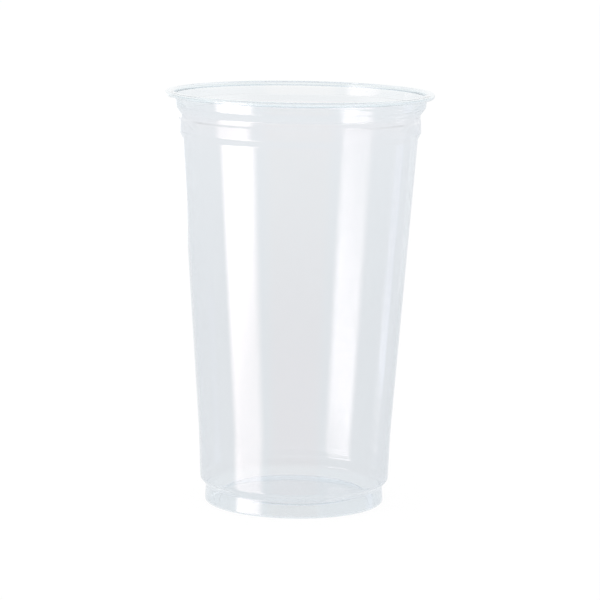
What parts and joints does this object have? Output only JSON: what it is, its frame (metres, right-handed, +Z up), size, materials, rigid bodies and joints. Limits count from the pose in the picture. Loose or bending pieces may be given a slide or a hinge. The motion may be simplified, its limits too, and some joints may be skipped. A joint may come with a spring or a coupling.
{
  "type": "disposable cold drink cup",
  "caption": "Tall tapered see-through plastic drink cup with a rolled rim, a lid collar, a stacking band, a notched foot and a raised floor.",
  "frame": {"origin": "centre of the foot's ring, on the plane that the cup stands on", "axes": "+Z up along the cup's axis, towards the mouth; the cup is a body of revolution, so +X and +Y are free"},
  "size_m": [0.095, 0.095, 0.1468],
  "materials": {
    "cup_wall": "clear, slightly cool-toned thermoformed polypropylene, glossy on both faces"
  },
  "bodies": {
    "root": {"cup": "cup_wall"}
  },
  "joints": []
}
